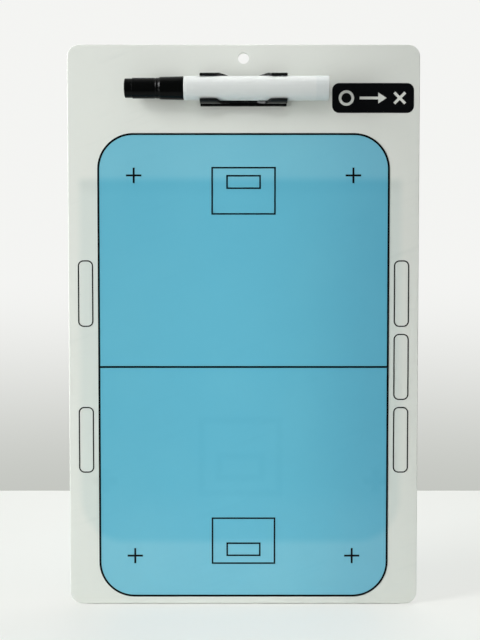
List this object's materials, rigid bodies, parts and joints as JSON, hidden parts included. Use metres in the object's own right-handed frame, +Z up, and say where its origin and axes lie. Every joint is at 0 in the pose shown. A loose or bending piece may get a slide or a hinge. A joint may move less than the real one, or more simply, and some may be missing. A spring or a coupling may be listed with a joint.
{
  "type": "tactics board",
  "caption": "Hand-held coach's tactics board: rounded plastic sheet with a court printed on each face, a hanging hole, and a capped marker held in a moulded finger clip.",
  "frame": {"origin": "centre of the hanging hole, on the sheet's rear face", "axes": "+Z up along the sheet's length, +X to the right as the front is read, +Y out of the rear face along the hanging hole"},
  "size_m": [0.25, 0.024, 0.4],
  "materials": {
    "white_sheet": "smooth satin white sheet, slightly translucent",
    "blue_ink": "flat screen-printed light blue under a clear gloss",
    "black_ink": "flat screen-printed black",
    "black_clip_plastic": "semi-gloss moulded black",
    "rivet_aluminium": "plain mill finish",
    "washer_steel": "zinc-plated",
    "white_barrel_plastic": "smooth white moulded tube",
    "white_plug_plastic": "plain white moulding",
    "reservoir_fibre": "bonded polyester fibre",
    "clear_film": "thin clear film",
    "nib_felt": "ink-soaked pressed fibre",
    "black_cap_plastic": "high-gloss moulded black",
    "liner_plastic": "soft natural polyethylene"
  },
  "bodies": {
    "board": {"front_court_field": "blue_ink", "front_court_border": "black_ink", "front_goal_areas": "black_ink", "front_faceoff_crosses": "black_ink", "bench_outlines": "black_ink", "corner_badge": "black_ink", "rear_court_field": "blue_ink", "rear_court_border": "black_ink", "rear_goal_area": "black_ink", "rear_faceoff_crosses": "black_ink", "board_sheet": "white_sheet", "marker_clip": "black_clip_plastic", "clip_rivets": "rivet_aluminium", "rivet_washers": "washer_steel"},
    "marker": {"marker_barrel": "white_barrel_plastic", "marker_end_plug": "white_plug_plastic", "ink_reservoir": "reservoir_fibre", "reservoir_sleeve": "clear_film", "nib_holder": "white_plug_plastic", "marker_nib": "nib_felt"},
    "cap": {"cap_shell": "black_cap_plastic", "cap_liner": "liner_plastic"}
  },
  "joints": [
    {"name": "marker_slide", "type": "slide", "parent": "board", "child": "marker", "axis": [1, 0, 0], "range_m": [0, 0.115]},
    {"name": "cap_pull", "type": "slide", "parent": "marker", "child": "cap", "axis": [-1, 0, 0], "range_m": [0, 0.04]}
  ]
}
